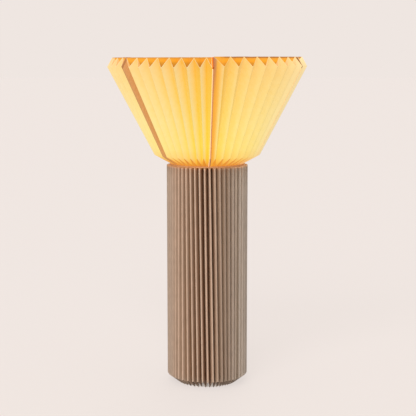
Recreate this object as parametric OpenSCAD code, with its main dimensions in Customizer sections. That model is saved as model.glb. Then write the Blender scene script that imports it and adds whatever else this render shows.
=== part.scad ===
// Foldable paper floor lamp: a pleated white paper shade standing on a pleated
// brown paper column, with a steel-footed stem and a lift-out light inside.
// Millimetres. Origin on the floor at the lamp's axis, +Z up, front towards -Y.
// Angles are measured about Z from the front, positive towards +X.

/* [Column] */
// Height from the floor to the plate that carries the shade
neck_z = 539; // [420:1:700]
// Radius at the outer tips of the column pleats
column_r = 98.5; // [90:0.5:125]
// Width of one face of a column pleat
column_face = 28; // [18:0.5:30]
// Height of the slanting cut at the foot of each column pleat
column_bevel = 20; // [8:0.5:40]
// Angle at which the column's two covers meet
column_seam_angle = 47; // [30:1:60]

/* [Shade] */
// Height of the shade from the neck plate to the inner tips of its rim
shade_h = 254; // [200:1:320]
// Radius at the outer tips of the rim
shade_rim_r = 239; // [200:0.5:270]
// Radius at the outer tips above the neck
shade_waist_r = 127.5; // [118:0.5:145]
// Depth of the pleats at the rim, from their outer tips to the inner folds
shade_rim_depth = 13; // [8:0.5:40]
// Depth of the pleats at the neck
shade_waist_depth = 40; // [32:0.5:44]
// Depth of the lining's folds inside the pleats, at the rim
lining_rim_depth = 12; // [6:0.5:20]
// Depth of the lining's folds at the neck
lining_waist_depth = 7; // [4:0.5:9]
// How far the outer folds stop short of the inner ones, top and bottom
shade_bevel = 21; // [10:0.5:30]
// Angle at which the shade's two covers meet
shade_seam_angle = 3.2; // [0:0.1:20]
// Angle from a board to the first outer fold after it
lead_angle = 6.2; // [5:0.1:8]

/* [Paper and board] */
// Thickness of the pleated paper
paper_t = 0.4; // [0.3:0.05:0.8]
// Thickness of the kraft boards between the shade's sheets
board_t = 2; // [1.2:0.1:3]
// Thickness of the covers at each seam
cover_t = 2; // [1.8:0.1:3]
// Radius of the magnets in the covers
magnet_r = 4; // [3:0.1:6]
// Thickness of the magnets in the covers
magnet_t = 1.2; // [0.8:0.1:1.4]

/* [Stand] */
// Thickness of the rubber pad under the foot
pad_t = 3; // [2:0.5:5]
// Thickness of the steel foot plate
plate_t = 10; // [7:0.5:16]
// Outer radius of the stem tubes
stem_r = 11; // [9:0.5:14]
// Wall of the stem tubes
stem_wall = 1.5; // [1:0.1:2.5]
// Radius of the two stem flanges
flange_r = 28; // [26:0.5:34]
// Thickness of the two stem flanges
flange_t = 4; // [3:0.5:6]
// Depth of the flange sockets that hold the stem
socket_h = 22; // [12:0.5:40]
// Length of the plug that joins the two stem tubes
plug_h = 60; // [30:1:100]
// Thickness of the neck plate
neck_t = 3; // [2:0.5:5]
// Thickness of the steel keeper ring on the neck plate
keeper_t = 1.6; // [1.5:0.1:3]
// Thread radius of the flange screws
screw_r = 2; // [1.5:0.1:2.5]

/* [Light] */
// Outer radius of the light's case
case_r = 55; // [54:0.5:62]
// Height of the light's case
case_h = 36; // [34:0.5:50]
// Wall of the light's case
case_wall = 2; // [1.5:0.1:3]
// Floor of the light's case
case_floor = 3; // [2.6:0.1:5]
// Thickness of the light's lid
lid_t = 3; // [2:0.1:5]
// Outer radius of the frosted dome
dome_r = 42; // [38:0.5:42]
// Wall of the frosted dome
dome_wall = 2; // [1.5:0.1:3]
// Radius of a battery cell
cell_r = 9.2; // [8:0.1:9.5]
// Length of a battery cell
cell_l = 65; // [55:0.5:66]
// Radius of the power button's cap
button_r = 4; // [3:0.1:4.2]
// How far the power button travels
button_travel = 1.5; // [1:0.1:2]
// Wire of the button spring
spring_wire = 0.6; // [0.4:0.05:0.8]

/* [Hidden] */
$fn = 72;
pleats = 48;
section_pleats = 8;
// Angle taken up by each group of eight pleats, from the seam round the lamp
shade_span_angles = [64, 60, 59, 60, 59.5, 57.5];
column_span_angles = [62, 62, 62, 62, 54, 58];
half_pitch = 180 / pleats;
gap = 0.3;             // clearance between pieces that move apart
glue = 0.1;            // between pieces that are glued together
cut = 1;               // how far a cut runs past the face that it opens
section_folds = 2 * section_pleats;
last_section = pleats / section_pleats - 1;
paper_white = "#fdf3dc";
kraft = "#b08a68";
board_brown = "#c08a5c";

// --- the pleats' geometry ---
// Half the radial thickness of a sheet whose fold runs between radii ro and ri
function mitre(ro, ri) =
    paper_t / 2 / sin(atan2(ri * sin(half_pitch), ro - ri * cos(half_pitch)));

column_top = neck_z - neck_t - gap;
// The sheet's middle lies inside the outer tip by half its radial thickness
column_half = mitre(column_r, column_r - column_face);
column_ridge_r = column_r - column_half;
column_fold_r = column_ridge_r * cos(half_pitch)
    - sqrt(pow(column_face, 2) - pow(column_ridge_r * sin(half_pitch), 2));
column_inside_r = column_fold_r - column_half;

shade_rim_fold_r = shade_rim_r - shade_rim_depth;
shade_waist_fold_r = shade_waist_r - shade_waist_depth;
rim_z = neck_z + shade_h;
rim_ridge_z = rim_z - shade_bevel;
waist_z = neck_z + gap;
waist_ridge_z = waist_z + shade_bevel;
fold_slope = (shade_rim_fold_r - shade_waist_fold_r) / (rim_z - waist_z);
rim_half = mitre(shade_rim_r, shade_rim_fold_r - fold_slope * shade_bevel);
waist_half = mitre(shade_waist_r, shade_waist_fold_r + fold_slope * shade_bevel);
// The lining is glued inside the pleats' inner folds and points inwards between them
lining_rim_r = shade_rim_fold_r - lining_rim_depth;
lining_waist_r = shade_waist_fold_r - lining_waist_depth;
lining_rim_half = mitre(shade_rim_fold_r, lining_rim_r);
lining_waist_half = mitre(shade_waist_fold_r, lining_waist_r);

// A fold is [angle, sideways shift, r low, z low, r high, z high, half low, half high]
function shade_ridge(a, s) = [a, s, shade_waist_r - waist_half, waist_ridge_z,
    shade_rim_r - rim_half, rim_ridge_z, waist_half, rim_half];
function shade_fold(a, s) = [a, s, shade_waist_fold_r, waist_z,
    shade_rim_fold_r, rim_z, waist_half, rim_half];
function lining_ridge(a, s) = [a, s, lining_waist_r, waist_z,
    lining_rim_r, rim_z, lining_waist_half, lining_rim_half];
function lining_fold(a, s) = [a, s,
    shade_waist_fold_r - waist_half - glue - lining_waist_half, waist_z,
    shade_rim_fold_r - rim_half - glue - lining_rim_half, rim_z,
    lining_waist_half, lining_rim_half];
function column_ridge(a, s) = [a, s, column_ridge_r, column_bevel + gap,
    column_ridge_r, column_top, column_half, column_half];
function column_fold(a, s) = [a, s, column_fold_r, gap,
    column_fold_r, column_top, column_half, column_half];

function total(v, n) = n == 0 ? 0 : v[n - 1] + total(v, n - 1);
function around(a, r, s, z) = [r * sin(a) + s * cos(a), s * sin(a) - r * cos(a), z];

// Four corners of a sheet at one fold: inner low, outer low, outer high, inner high
function corners(f) = [
    around(f[0], f[2] - f[6], f[1], f[3]), around(f[0], f[2] + f[6], f[1], f[3]),
    around(f[0], f[4] + f[7], f[1], f[5]), around(f[0], f[4] - f[7], f[1], f[5])];

// A pleated sheet through a list of folds
module sheet(folds) {
    last = 4 * (len(folds) - 1);
    points = [for (f = folds) each corners(f)];
    sides = [for (i = [0 : 4 : last - 1]) each [
        [i + 1, i + 2, i + 6], [i + 1, i + 6, i + 5],
        [i + 4, i + 7, i], [i + 7, i + 3, i],
        [i + 2, i + 3, i + 7], [i + 2, i + 7, i + 6],
        [i + 5, i + 4, i], [i + 5, i, i + 1]]];
    ends = [[0, 3, 2], [0, 2, 1],
        [last + 1, last + 2, last + 3], [last + 1, last + 3, last]];
    polyhedron(points, concat(sides, ends), convexity = 12);
}

// --- the shade's sheets ---
shade_last = section_folds - 1;
shade_last_group = 2 * (last_section + 1);
function shade_board_a(sec) = shade_seam_angle + total(shade_span_angles, sec);
function shade_ridge_a(sec, i) = shade_board_a(sec) + lead_angle
    + (i - 1) * (shade_span_angles[sec] - lead_angle) / (section_pleats - 1);
// Folds of one sheet are numbered 0 to 15, inner ones even and outer ones odd
function shade_a(sec, m) = m == 0 ? shade_board_a(sec)
    : m % 2 == 1 ? shade_ridge_a(sec, (m + 1) / 2)
    : (shade_ridge_a(sec, m / 2) + shade_ridge_a(sec, m / 2 + 1)) / 2;
function shade_shift(sec, m) =
    m == 0 ? (sec == 0 ? cover_t + gap / 2 : board_t / 2) + glue
    : m == shade_last ? -(sec == last_section ? cover_t + gap / 2 : board_t / 2) - glue
    : 0;
function shade_line(sec, m, s) = m % 2 == 1
    ? shade_ridge(shade_a(sec, m), s) : shade_fold(shade_a(sec, m), s);
function lining_line(sec, m, s) = m % 2 == 1
    ? lining_ridge(shade_a(sec, m), s) : lining_fold(shade_a(sec, m), s);
function end_shift(m, m0, m1, s0, s1) = m == m0 ? s0 : m == m1 ? s1 : 0;
// Pleats m0 to m1 of one sheet, and the lining behind them
module shade_sheets(sec, m0, m1, s0, s1) {
    sheet([for (m = [m0 : m1]) shade_line(sec, m, end_shift(m, m0, m1, s0, s1))]);
    sheet([for (m = [m0 : m1]) lining_line(sec, m, end_shift(m, m0, m1, s0, s1))]);
}
shade_first_cut = 4;
shade_second_cut = section_folds - shade_first_cut;

module shade_lead(sec) {
    shade_sheets(sec, 0, shade_first_cut, shade_shift(sec, 0), -gap / 2);
}
module shade_middle(sec) {
    shade_sheets(sec, shade_first_cut, shade_second_cut, gap / 2, -gap / 2);
}
module shade_tail(sec) {
    shade_sheets(sec, shade_second_cut, shade_last, gap / 2, shade_shift(sec, shade_last));
}
// Thirteen groups of pleats: even ones lie round a board, odd ones between boards
module shade_pleats(k) {
    color(paper_white) {
        if (k % 2 == 1) shade_middle((k - 1) / 2);
        if (k % 2 == 0 && k < shade_last_group) shade_lead(k / 2);
        if (k % 2 == 0 && k > 0) shade_tail(k / 2 - 1);
    }
}

// --- the column's sheet ---
column_last = 2 * pleats;
column_cut = 12;       // folds in one group
column_cut_start = 7;
column_last_group = 8;
function column_a(h) = let (sec = min(floor(h / section_folds), last_section))
    column_seam_angle + total(column_span_angles, sec)
    + (h / section_folds - sec) * column_span_angles[sec];
function column_line(h, s) = h % 2 == 0
    ? column_ridge(column_a(h), s) : column_fold(column_a(h), s);
column_edge = cover_t + gap / 2 + glue;

// Nine groups of pleats, cut at inner folds
module column_pleats(k) {
    h0 = k == 0 ? 0 : column_cut_start + column_cut * (k - 1);
    h1 = k == column_last_group ? column_last : column_cut_start + column_cut * k;
    s0 = k == 0 ? column_edge : gap / 2;
    s1 = k == column_last_group ? -column_edge : -gap / 2;
    color(kraft) sheet([for (h = [h0 : h1])
        column_line(h, h == h0 ? s0 : h == h1 ? s1 : 0)]);
}

// --- boards, covers and magnets ---
// A board or cover has the outline of one wall of its sheet, with the lining's wall
shade_outline = [
    [shade_waist_r, waist_ridge_z],
    [shade_rim_r, rim_ridge_z],
    [shade_rim_fold_r + rim_half, rim_z],
    [lining_rim_r - lining_rim_half, rim_z],
    [lining_waist_r - lining_waist_half, waist_z],
    [shade_waist_fold_r, waist_z]];
shade_magnet_line = [
    [(shade_waist_r + lining_waist_r) / 2, waist_ridge_z],
    [(shade_rim_r + lining_rim_r) / 2, rim_ridge_z]];
column_outline = [
    [column_r, column_bevel + gap],
    [column_r, column_top],
    [column_inside_r, column_top],
    [column_inside_r, gap]];
column_magnet_line = [
    [(column_r + column_inside_r) / 2, column_bevel],
    [(column_r + column_inside_r) / 2, column_top]];

// Stands a radial outline up at an angle, from sideways place s to s + t
module radial(a, s, t) {
    rotate([0, 0, a - 90]) translate([0, s + t, 0]) rotate([90, 0, 0])
        linear_extrude(t) children();
}
magnet_shares = [0.12, 0.5, 0.88];

// Discs from the seam's face into a cover; past says how far they stand out of it
module magnet_row(line, a, side, r, t, past = 0) {
    for (share = magnet_shares)
        radial(a, side > 0 ? gap / 2 - past : -gap / 2 - t, t + past)
            translate(line[0] * (1 - share) + line[1] * share) circle(r);
}
// One of the two covers that meet at a seam, with pockets for its magnets
module cover(outline, line, a, side) {
    difference() {
        radial(a, side > 0 ? gap / 2 : -gap / 2 - cover_t, cover_t) polygon(outline);
        magnet_row(line, a, side, magnet_r + glue, magnet_t + glue, cut);
    }
}
module shade_board(sec) {
    color(board_brown) radial(shade_board_a(sec), -board_t / 2, board_t)
        polygon(shade_outline);
}
module shade_cover(side) {
    color(board_brown) cover(shade_outline, shade_magnet_line, shade_seam_angle, side);
}
module shade_magnets(side) {
    color("silver") magnet_row(shade_magnet_line, shade_seam_angle, side, magnet_r, magnet_t);
}
module column_cover(side) {
    color(kraft) cover(column_outline, column_magnet_line, column_seam_angle, side);
}
module column_magnets(side) {
    color("silver") magnet_row(column_magnet_line, column_seam_angle, side, magnet_r, magnet_t);
}

// --- the stand ---
foot_r = column_inside_r - gap;
plate_top = pad_t + plate_t;
screw_count = 4;
collar_wall = 3.5;
screw_pitch_r = (flange_r + stem_r + collar_wall) / 2;
screw_head_r = 1.9 * screw_r;
screw_bite = 1.8 * screw_r;  // length of thread in a flange
head_h = 1.2;
base_head_h = 3;
screw_room = 0.2;      // around a screw that isn't threaded there
stem_seat = 2;         // solid floor of a flange under the stem
stem_fit = 0.05;
stem_low = plate_top + stem_seat;
neck_low = neck_z - neck_t;
stem_high = neck_low - stem_seat;
joint_z = (stem_low + stem_high) / 2;
ring_h = 4;
pad_inset = 3;
plate_chamfer = 1;

module on_screws() {
    for (i = [0 : screw_count - 1])
        rotate([0, 0, 45 + 360 / screw_count * i]) translate([screw_pitch_r, 0, 0])
            children();
}
module foot_pad() {
    color("#cfc8bd") cylinder(r = foot_r - pad_inset, h = pad_t);
}
module foot_plate() {
    color("#e3ddd3") difference() {
        translate([0, 0, pad_t]) rotate_extrude() polygon([
            [0, 0], [foot_r - plate_chamfer, 0], [foot_r, plate_chamfer],
            [foot_r, plate_t - plate_chamfer], [foot_r - plate_chamfer, plate_t],
            [0, plate_t]]);
        on_screws() translate([0, 0, -cut]) {
            cylinder(r = screw_r + screw_room, h = plate_top + 2 * cut);
            cylinder(r = screw_head_r + screw_room, h = pad_t + base_head_h + cut);
        }
    }
}
// A flange with a socket; it stands on z = 0 with its socket upwards
module flange() {
    difference() {
        union() {
            cylinder(r = flange_r, h = flange_t);
            cylinder(r = stem_r + collar_wall, h = stem_seat + socket_h);
        }
        translate([0, 0, stem_seat])
            cylinder(r = stem_r + stem_fit, h = socket_h + cut);
        on_screws() translate([0, 0, -cut])
            cylinder(r = screw_r + stem_fit, h = flange_t + 2 * cut);
    }
}
module base_flange() {
    color("#3a3b3d") translate([0, 0, plate_top]) flange();
}
module neck_flange() {
    color("#3a3b3d") translate([0, 0, neck_low]) mirror([0, 0, 1]) flange();
}
module base_screws() {
    color("silver") on_screws() {
        translate([0, 0, pad_t]) cylinder(r = screw_head_r, h = base_head_h);
        translate([0, 0, pad_t])
            cylinder(r = screw_r, h = plate_t + min(screw_bite, flange_t));
    }
}
module tube(z0, z1) {
    translate([0, 0, z0]) difference() {
        cylinder(r = stem_r, h = z1 - z0);
        translate([0, 0, -cut]) cylinder(r = stem_r - stem_wall, h = z1 - z0 + 2 * cut);
    }
}
module stem_lower() {
    color("#c9cbcd") tube(stem_low, joint_z - ring_h / 2);
}
module stem_upper() {
    color("#c9cbcd") tube(joint_z + ring_h / 2, stem_high);
}
module stem_plug() {
    color("#55585b") {
        translate([0, 0, joint_z - plug_h / 2])
            cylinder(r = stem_r - stem_wall - stem_fit, h = plug_h);
        translate([0, 0, joint_z - ring_h / 2]) cylinder(r = stem_r, h = ring_h);
    }
}
neck_margin = 2;
neck_r = shade_waist_fold_r + waist_half + neck_margin;
keeper_margin = 2;
case_magnet_r = 5;
case_magnet_t = 2;
keeper_in = screw_pitch_r + screw_head_r + keeper_margin;
magnet_pitch_r = 42;
keeper_out = magnet_pitch_r + case_magnet_r + keeper_margin;
module neck_plate() {
    color(kraft) difference() {
        translate([0, 0, neck_low]) cylinder(r = neck_r, h = neck_t);
        on_screws() translate([0, 0, neck_low - cut])
            cylinder(r = screw_r + screw_room, h = neck_t + 2 * cut);
    }
}
module neck_screws() {
    color("silver") on_screws() {
        translate([0, 0, neck_z]) cylinder(r = screw_head_r, h = head_h);
        translate([0, 0, neck_low - min(screw_bite, flange_t)])
            cylinder(r = screw_r, h = neck_t + min(screw_bite, flange_t) + head_h / 2);
    }
}
module keeper_ring() {
    color("#9a9da0") translate([0, 0, neck_z]) difference() {
        cylinder(r = keeper_out, h = keeper_t);
        translate([0, 0, -cut]) cylinder(r = keeper_in, h = keeper_t + 2 * cut);
    }
}

// --- the light; heights are above the underside of its case ---
light_z = neck_z + keeper_t + glue;
bore_r = case_r - case_wall;
module on_light() {
    translate([0, 0, light_z]) children();
}
post_r = 3;
post_inset = 2;        // from a post to the case's wall
post_pitch_r = bore_r - post_r - post_inset;
post_count = 4;
case_screw_r = 1.2;
case_screw_bite = 7;         // length of thread in a post
case_head_r = 2.3;
case_head_h = 1.5;
module on_posts() {
    for (i = [0 : post_count - 1])
        rotate([0, 0, 45 + 360 / post_count * i]) translate([post_pitch_r, 0, 0])
            children();
}
// Place at an angle and radius on the lid
module at_lid(a, r) {
    rotate([0, 0, a - 90]) translate([r, 0, 0]) children();
}
led_z = case_h + lid_t;
board_drop = 10;             // from the lid down to the control board
board_z = case_h - board_drop;
pcb_t = 1.6;
pcb_room = 0.6;
pcb_r = bore_r - pcb_room;
socket_w = 9;
socket_t = 3.2;
socket_l = 7.4;
socket_wall = 0.35;
socket_back = 1;
socket_inset = 0.5;          // from the case's face to the socket's mouth
socket_room = 0.3;
tongue_w = 6.8;
tongue_t = 0.7;
tongue_short = 0.8;          // from the mouth to the tongue's tip
socket_back_r = case_r - socket_inset - socket_l;
module on_case_magnets() {
    for (i = [0 : 3]) rotate([0, 0, 90 * i]) translate([magnet_pitch_r, 0, 0]) children();
}
module rounded_bar(w, t, l) {
    rotate([90, 0, 90]) linear_extrude(l) hull()
        for (x = [-1, 1]) translate([x * (w - t) / 2, 0]) circle(t / 2, $fn = 24);
}
module light_case() {
    color("#f2efe8") on_light() difference() {
        union() {
            difference() {
                cylinder(r = case_r, h = case_h);
                translate([0, 0, case_floor]) cylinder(r = bore_r, h = case_h);
            }
            on_posts() cylinder(r = post_r, h = board_z);
        }
        on_case_magnets() translate([0, 0, case_floor - case_magnet_t - glue])
            cylinder(r = case_magnet_r + glue, h = case_floor);
        on_posts() translate([0, 0, board_z - case_screw_bite - cut])
            cylinder(r = case_screw_r + stem_fit, h = case_h);
        at_lid(180, bore_r - 2 * cut) translate([0, 0, board_z + pcb_t + socket_t / 2])
            rounded_bar(socket_w + 2 * socket_room, socket_t + 2 * socket_room,
                case_wall + 4 * cut);
    }
}
module light_magnets() {
    color("silver") on_light() on_case_magnets()
        translate([0, 0, case_floor - case_magnet_t - glue])
            cylinder(r = case_magnet_r, h = case_magnet_t);
}
cell_apart = 0.8;            // half the space between the two cells
cell_y = cell_r + cell_apart;
holder_t = 1.4;
holder_end = 3;
holder_side = 1.6;
holder_w = 2 * (cell_y + cell_r - cell_apart + holder_side);
nub_share = 0.35;
nub_l = 1;
cell_z = case_floor + holder_t + cell_r;
module battery_holder() {
    color("#202124") on_light() difference() {
        translate([-cell_l / 2 - holder_end, -holder_w / 2, case_floor])
            cube([cell_l + 2 * holder_end, holder_w, holder_t + cell_r]);
        for (y = [-1, 1]) translate([-cell_l / 2 - gap, y * cell_y, cell_z])
            rotate([0, 90, 0]) cylinder(r = cell_r + glue, h = cell_l + 2 * gap);
    }
}
module battery_cells() {
    color("#3f7f9c") on_light() for (y = [-1, 1])
        translate([-cell_l / 2, y * cell_y, cell_z]) rotate([0, 90, 0]) {
            cylinder(r = cell_r, h = cell_l - nub_l);
            cylinder(r = cell_r * nub_share, h = cell_l);
        }
}
module control_board() {
    color("#2c6b45") on_light() difference() {
        translate([0, 0, board_z]) cylinder(r = pcb_r, h = pcb_t);
        on_posts() translate([0, 0, board_z - cut])
            cylinder(r = case_screw_r + screw_room, h = pcb_t + 2 * cut);
    }
}
module charge_socket() {
    color("silver") on_light() at_lid(180, socket_back_r)
        translate([0, 0, board_z + pcb_t + socket_t / 2]) {
            difference() {
                rounded_bar(socket_w, socket_t, socket_l);
                translate([socket_back, 0, 0]) rounded_bar(socket_w - 2 * socket_wall,
                    socket_t - 2 * socket_wall, socket_l);
            }
            translate([socket_back / 2, -tongue_w / 2, -tongue_t / 2])
                cube([socket_l - socket_back / 2 - tongue_short, tongue_w, tongue_t]);
        }
}
wire_hole_r = 6;
button_hole_r = button_r + glue;
button_lip = 0.8;
button_flange_r = button_r + button_lip;
button_flange_t = 1.2;
button_inset = 0.7;          // from the button's flange to the case's wall
button_proud = 0.5;          // what stands above the lid when it is pressed
button_pitch_r = bore_r - button_flange_r - button_inset;
button_up = button_travel + button_proud;
button_z = case_h - glue - button_flange_t;
pipe_r = 1.5;
pipe_below = 2;
pipe_proud = 0.3;
pipe_angle = 16;
groove_d = 1;
// The lid's four bosses stand on the control board
module light_lid() {
    color("#f2efe8") on_light() difference() {
        union() {
            translate([0, 0, case_h]) cylinder(r = case_r, h = lid_t);
            on_posts() translate([0, 0, board_z + pcb_t])
                cylinder(r = post_r, h = case_h - board_z - pcb_t + lid_t / 2);
        }
        translate([0, 0, case_h - cut]) cylinder(r = wire_hole_r, h = lid_t + 2 * cut);
        translate([0, 0, led_z - groove_d]) difference() {
            cylinder(r = dome_r + glue, h = groove_d + cut);
            translate([0, 0, -cut])
                cylinder(r = dome_r - dome_wall - glue, h = groove_d + 3 * cut);
        }
        on_posts() translate([0, 0, board_z])
            cylinder(r = case_screw_r + stem_fit, h = case_h);
        at_lid(0, button_pitch_r) translate([0, 0, case_h - cut])
            cylinder(r = button_hole_r, h = lid_t + 2 * cut);
        at_lid(pipe_angle, button_pitch_r) translate([0, 0, case_h - cut])
            cylinder(r = pipe_r + stem_fit, h = lid_t + 2 * cut);
    }
}
module light_screws() {
    color("silver") on_light() on_posts() {
        translate([0, 0, led_z]) cylinder(r = case_head_r, h = case_head_h);
        translate([0, 0, board_z - case_screw_bite])
            cylinder(r = case_screw_r, h = led_z - board_z + case_screw_bite);
    }
}
led_inset = 2;
led_board_r = dome_r - dome_wall - led_inset;
led_board_t = 1.6;
led_wire_r = 2;
// Each ring of chips: how many, and its radius as a share of the board's
led_rings = [[6, 0.24], [12, 0.53], [18, 0.82]];
led_w = 3;
led_t = 0.8;
module led_board() {
    color("#e9e7df") on_light() translate([0, 0, led_z]) difference() {
        cylinder(r = led_board_r, h = led_board_t);
        translate([0, 0, -cut]) cylinder(r = led_wire_r, h = led_board_t + 2 * cut);
    }
}
module led_chips() {
    color("#ffd873") on_light() translate([0, 0, led_z + led_board_t])
        for (ring = led_rings) for (i = [1 : ring[0]])
            rotate([0, 0, 360 / ring[0] * i])
                translate([ring[1] * led_board_r - led_w / 2, -led_w / 2, 0])
                    cube([led_w, led_w, led_t]);
}
dome_skirt = 6;
module light_dome() {
    color("#fff6e0") on_light() translate([0, 0, led_z - groove_d]) rotate_extrude()
        intersection() {
            difference() {
                union() {
                    square([dome_r, dome_skirt]);
                    translate([0, dome_skirt]) circle(dome_r);
                }
                square([dome_r - dome_wall, dome_skirt]);
                translate([0, dome_skirt]) circle(dome_r - dome_wall);
            }
            square([dome_r, dome_r + dome_skirt]);
        }
}
module light_pipe() {
    color("#d9f0d9") on_light() at_lid(pipe_angle, button_pitch_r)
        translate([0, 0, case_h - pipe_below])
            cylinder(r = pipe_r, h = pipe_below + lid_t + pipe_proud);
}
module power_button() {
    color("#e8e4da") on_light() at_lid(0, button_pitch_r) translate([0, 0, button_z]) {
        cylinder(r = button_flange_r, h = button_flange_t);
        cylinder(r = button_r, h = button_flange_t + glue + lid_t + button_up);
    }
}
// Round wire wound in a helix; each ring of wire points faces along its path
spring_turns = 5;
spring_r = button_r - spring_wire / 3;
spring_seat = 0.05;    // above the board and below the button
spring_sides = 6;
ring_steps = 12;
module button_spring() {
    low = board_z + pcb_t + spring_wire / 2 + spring_seat;
    high = button_z - spring_wire / 2 - spring_seat;
    rise = high - low;
    rings = spring_turns * ring_steps;
    points = [for (i = [0 : rings], j = [0 : spring_sides - 1])
        let (turn = 360 * spring_turns * i / rings, side = 360 * j / spring_sides,
            r = spring_r + spring_wire / 2 * cos(side))
        [r * cos(turn), r * sin(turn),
            low + rise * i / rings + spring_wire / 2 * sin(side)]];
    around_faces = [for (i = [0 : rings - 1], j = [0 : spring_sides - 1])
        let (a = i * spring_sides + j, b = i * spring_sides + (j + 1) % spring_sides)
        each [[a, b + spring_sides, b], [a, a + spring_sides, b + spring_sides]]];
    start = [for (j = [0 : spring_sides - 1]) j];
    end = [for (j = [spring_sides - 1 : -1 : 0]) rings * spring_sides + j];
    color("silver") on_light() at_lid(0, button_pitch_r)
        polyhedron(points, concat(around_faces, [start, end]), convexity = 10);
}

foot_pad();
foot_plate();
base_flange();
base_screws();
stem_lower();
stem_plug();
stem_upper();
neck_flange();
neck_plate();
neck_screws();
keeper_ring();
light_case();
light_magnets();
battery_holder();
battery_cells();
control_board();
charge_socket();
light_lid();
light_screws();
led_board();
led_chips();
light_dome();
light_pipe();
power_button();
button_spring();
column_cover(1);  // column_cover_fixed
column_cover(-1);  // column_cover_free
column_magnets(1);  // column_magnets_fixed
column_magnets(-1);  // column_magnets_free
for (k = [0 : column_last_group])
    column_pleats(k);
shade_cover(1);  // shade_cover_fixed
shade_cover(-1);  // shade_cover_free
shade_magnets(1);  // shade_magnets_fixed
shade_magnets(-1);  // shade_magnets_free
for (k = [1 : last_section])
    shade_board(k);
for (k = [0 : shade_last_group])
    shade_pleats(k);
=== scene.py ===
import math

import bpy
import numpy as np
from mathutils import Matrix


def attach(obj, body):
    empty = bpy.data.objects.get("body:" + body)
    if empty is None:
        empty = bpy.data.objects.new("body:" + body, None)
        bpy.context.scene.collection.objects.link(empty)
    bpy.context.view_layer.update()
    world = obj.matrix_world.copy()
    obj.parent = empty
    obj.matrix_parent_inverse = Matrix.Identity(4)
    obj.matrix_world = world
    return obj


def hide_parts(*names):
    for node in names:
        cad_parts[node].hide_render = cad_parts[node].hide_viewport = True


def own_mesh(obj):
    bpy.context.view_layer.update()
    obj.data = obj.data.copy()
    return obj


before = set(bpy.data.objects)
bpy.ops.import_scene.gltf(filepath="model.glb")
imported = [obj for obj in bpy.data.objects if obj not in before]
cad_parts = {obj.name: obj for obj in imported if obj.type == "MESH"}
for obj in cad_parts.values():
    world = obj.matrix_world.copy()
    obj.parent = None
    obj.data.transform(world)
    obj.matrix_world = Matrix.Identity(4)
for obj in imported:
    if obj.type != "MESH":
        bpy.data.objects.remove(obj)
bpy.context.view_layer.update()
mm = 0.001  # sizes are in millimetres where no other unit is given, and become metres in the mesh


def linearColour(hexText):
    # sRGB to linear: a channel under 0.04045 over 12.92, else ((c + 0.055) / 1.055) to the power 2.4
    channels = [int(hexText[i:i + 2], 16) / 255 for i in (1, 3, 5)]
    return [c / 12.92 if c <= 0.04045 else ((c + 0.055) / 1.055) ** 2.4 for c in channels] + [1.0]


def startMaterial(name):
    # An empty node tree with one Principled shader on its output
    material = bpy.data.materials.new(name)
    material.use_nodes = True
    tree = material.node_tree
    tree.nodes.clear()
    shader = tree.nodes.new("ShaderNodeBsdfPrincipled")
    output = tree.nodes.new("ShaderNodeOutputMaterial")
    tree.links.new(shader.outputs[0], output.inputs["Surface"])
    return material, tree, shader


def addNode(tree, kind, inputs=None, stops=None, **settings):
    # inputs: socket name or number -> a value, or another node's output to link
    # stops: places and sRGB hex colours of a ramp
    node = tree.nodes.new("ShaderNode" + kind)
    for name, value in settings.items():
        setattr(node, name, value)
    for name, value in (inputs or {}).items():
        if isinstance(value, bpy.types.NodeSocket):
            tree.links.new(value, node.inputs[name])
        else:
            node.inputs[name].default_value = value
    if stops:
        while len(node.color_ramp.elements) < len(stops):
            node.color_ramp.elements.new(0.5)
        for element, (place, colour) in zip(node.color_ramp.elements, stops):
            element.position = place
            element.color = linearColour(colour)
    return node


def finishShader(tree, shader, values, links):
    # values: input name -> a plain value; links: input name -> another node's output
    for name, value in values.items():
        shader.inputs[name].default_value = value
    for name, socket in links.items():
        tree.links.new(socket, shader.inputs[name])


def dress(nodeName, material):
    # A piece from the frame has one material all over
    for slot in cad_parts[nodeName].material_slots:
        slot.link = "OBJECT"
        slot.material = material


def meshPiece(name, points, faces, materials, faceMaterials, attributes, sharpAngle=50):
    # Points in metres, a material number for each face and a value for each point of every attribute.
    # Smooth, but sharp where two faces turn by more than sharpAngle degrees.
    mesh = bpy.data.meshes.new(name)
    mesh.from_pydata(points.tolist(), [], faces.tolist())
    for material in materials:
        mesh.materials.append(material)
    mesh.polygons.foreach_set("material_index", faceMaterials)
    mesh.polygons.foreach_set("use_smooth", np.ones(len(faces), bool))
    for label, values in attributes.items():
        attribute = mesh.attributes.new(label, "FLOAT", "POINT")
        attribute.data.foreach_set("value", values.astype(np.float32))
    mesh.update()
    mesh.set_sharp_from_angle(angle=math.radians(sharpAngle))
    piece = bpy.data.objects.new(name, mesh)
    bpy.context.scene.collection.objects.link(piece)
    return piece


noiseLow, noiseHigh = 0.3, 0.7  # nearly all of a noise lies between these


# The shade's paper

shadeGlow = {
    "reflected": 0.3,      # share of a colour that the paper reflects; the rest shines through it
    "strength": 1.09,      # how bright that rest is
    "mottle": 9,           # mm, cloudiness of the pulp
    "mottleWarmth": 0.07,  # how much a cloud is warmer or cooler than the paper round it
    "fibre": 2.4,          # mm; real fibres are under 0.1 mm thick, drawn as coarse as shows
    "fibreHeight": 0.3,    # mm
    "waist": 539.3,        # mm, the heights between which the colour changes
    "rim": 793,
    # Painted shade on the wall beside the cover
    "amber": "#FFB83E",
    "shadowed": "#C8875E",
    # Painted highlight on the cut edges and at the lamp's sides
    "cut": "#FFE8B4",
}


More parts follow.
